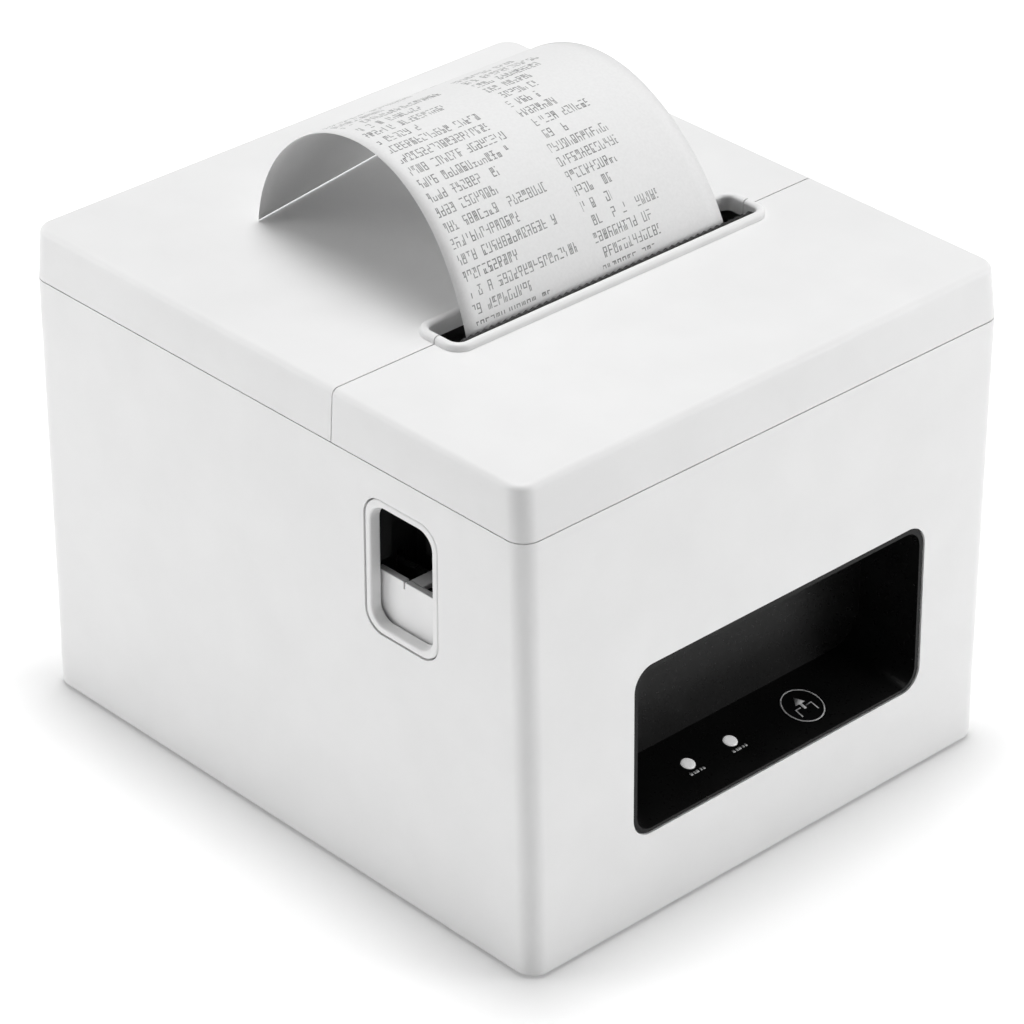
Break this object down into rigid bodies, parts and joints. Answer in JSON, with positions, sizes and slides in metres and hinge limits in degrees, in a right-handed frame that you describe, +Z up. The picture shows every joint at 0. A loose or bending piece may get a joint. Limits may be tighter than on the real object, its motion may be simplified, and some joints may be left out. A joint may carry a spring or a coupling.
{
  "type": "receipt printer",
  "caption": "Desktop thermal receipt printer: hinged top cover, paper slot with a curling receipt, recessed control panel and side release lever.",
  "frame": {"origin": "middle of the bounding box, on the table under the rubber feet", "axes": "+X to the printer's right along its front, +Y from the front to the back, +Z up"},
  "size_m": [0.149, 0.167, 0.1562],
  "materials": {
    "white_casing": "satin",
    "black_gloss": "gloss",
    "black_plastic": "matt",
    "steel": "bright",
    "aluminium": "mill",
    "ceramic": "glazed",
    "black_rubber": "matt",
    "nylon": "satin",
    "thermal_paper": "smooth",
    "core_card": "raw",
    "circuit_board": "solder mask",
    "lens": "clear"
  },
  "bodies": {
    "base": {"base_plate": "black_plastic", "base_screw_1": "steel", "base_screw_2": "steel", "base_screw_3": "steel", "base_screw_4": "steel", "cash_drawer_port": "black_plastic", "control_panel_bay": "black_gloss", "cutter_motor": "steel", "cutter_plate": "steel", "feed_motor": "steel", "front_top_cover": "white_casing", "head_spring_left": "steel", "head_spring_right": "steel", "hinge_pin_left": "steel", "hinge_pin_right": "steel", "latch_guide": "black_plastic", "main_board": "circuit_board", "main_housing": "white_casing", "mechanism_frame": "steel", "network_port": "steel", "panel_board": "circuit_board", "paper_sensor": "black_plastic", "paper_tub": "black_plastic", "paper_web": "thermal_paper", "power_inlet": "black_plastic", "power_led_lens": "lens", "power_switch_frame": "black_plastic", "rubber_foot_1": "black_rubber", "rubber_foot_2": "black_rubber", "rubber_foot_3": "black_rubber", "rubber_foot_4": "black_rubber", "side_bezel": "white_casing", "status_led_lens": "lens", "tear_bar": "black_plastic", "usb_port": "steel"},
    "rear_cover": {"rear_cover": "white_casing", "cover_carrier": "black_plastic", "fixed_blade": "steel", "platen_bushing_left": "nylon", "platen_bushing_right": "nylon", "receipt": "thermal_paper"},
    "platen": {"platen_shaft": "steel", "platen_rubber": "black_rubber", "platen_gear": "nylon"},
    "paper_roll": {"paper_roll": "thermal_paper", "paper_core": "core_card"},
    "print_head": {"print_head": "ceramic", "heat_sink": "aluminium", "head_pivot_rod": "steel", "release_arm": "steel"},
    "cutter_blade": {"moving_blade": "steel", "cutter_rack": "nylon"},
    "idler_upper": {"idler_gear_upper": "nylon"},
    "idler_lower": {"idler_gear_lower": "nylon"},
    "feed_pinion": {"feed_motor_pinion": "steel"},
    "release_lever": {"release_lever": "white_casing"},
    "feed_button": {"feed_button": "black_gloss"},
    "cutter_pinion": {"cutter_pinion": "nylon"},
    "power_rocker": {"power_rocker": "black_plastic"}
  },
  "joints": [
    {"name": "rear_cover_hinge", "type": "hinge", "parent": "base", "child": "rear_cover", "pos_m": [0, 0.0809, 0.11], "axis": [-1, 0, 0], "range_deg": [0, 95]},
    {"name": "paper_roll_spin", "type": "hinge", "parent": "base", "child": "paper_roll", "pos_m": [0, 0.036, 0.0453], "axis": [-1, 0, 0], "continuous": true},
    {"name": "platen_spin", "type": "hinge", "parent": "rear_cover", "child": "platen", "pos_m": [0, -0.0146, 0.1], "axis": [-1, 0, 0], "continuous": true},
    {"name": "idler_upper_spin", "type": "hinge", "parent": "base", "child": "idler_upper", "pos_m": [0.0515, -0.0146, 0.084], "axis": [-1, 0, 0], "continuous": true},
    {"name": "idler_lower_spin", "type": "hinge", "parent": "base", "child": "idler_lower", "pos_m": [0.0515, -0.02335, 0.06885], "axis": [-1, 0, 0], "continuous": true},
    {"name": "feed_pinion_spin", "type": "hinge", "parent": "base", "child": "feed_pinion", "pos_m": [0.0515, -0.02728, 0.05804], "axis": [-1, 0, 0], "continuous": true},
    {"name": "print_head_pivot", "type": "hinge", "parent": "base", "child": "print_head", "pos_m": [0, -0.0133, 0.0745], "axis": [1, 0, 0], "range_deg": [0, 6], "stiffness_Nm_per_rad": 1, "springref_deg": -14.32, "deforming": ["head_spring_left", "head_spring_right"]},
    {"name": "release_lever_slide", "type": "slide", "parent": "base", "child": "release_lever", "axis": [0, 0, -1], "range_m": [0, 0.00302]},
    {"name": "feed_button_press", "type": "slide", "parent": "base", "child": "feed_button", "axis": [0, 0.2274, -0.9738], "range_m": [0, 0.0009], "stiffness_N_per_m": 400, "springref_m": -0.001},
    {"name": "cutter_blade_slide", "type": "slide", "parent": "base", "child": "cutter_blade", "axis": [0, 1, 0], "range_m": [0, 0.0075]},
    {"name": "cutter_pinion_spin", "type": "hinge", "parent": "base", "child": "cutter_pinion", "pos_m": [0.053, -0.046, 0.1107], "axis": [0, 0, 1], "range_deg": [-72.2, 0]},
    {"name": "power_rocker_rock", "type": "hinge", "parent": "base", "child": "power_rocker", "pos_m": [0.055, 0.0776, 0.045], "axis": [1, 0, 0], "range_deg": [0, 18]}
  ],
  "couplings": [
    {"joint": "platen_spin", "follows": "paper_roll_spin", "ratio": 6.3265},
    {"joint": "idler_upper_spin", "follows": "paper_roll_spin", "ratio": -3.7959},
    {"joint": "idler_lower_spin", "follows": "paper_roll_spin", "ratio": 5.0612},
    {"joint": "feed_pinion_spin", "follows": "paper_roll_spin", "ratio": -9.4898},
    {"joint": "release_lever_slide", "follows": "print_head_pivot", "m_per_rad": 0.0277},
    {"joint": "cutter_pinion_spin", "follows": "cutter_blade_slide", "rad_per_m": -166.67}
  ]
}
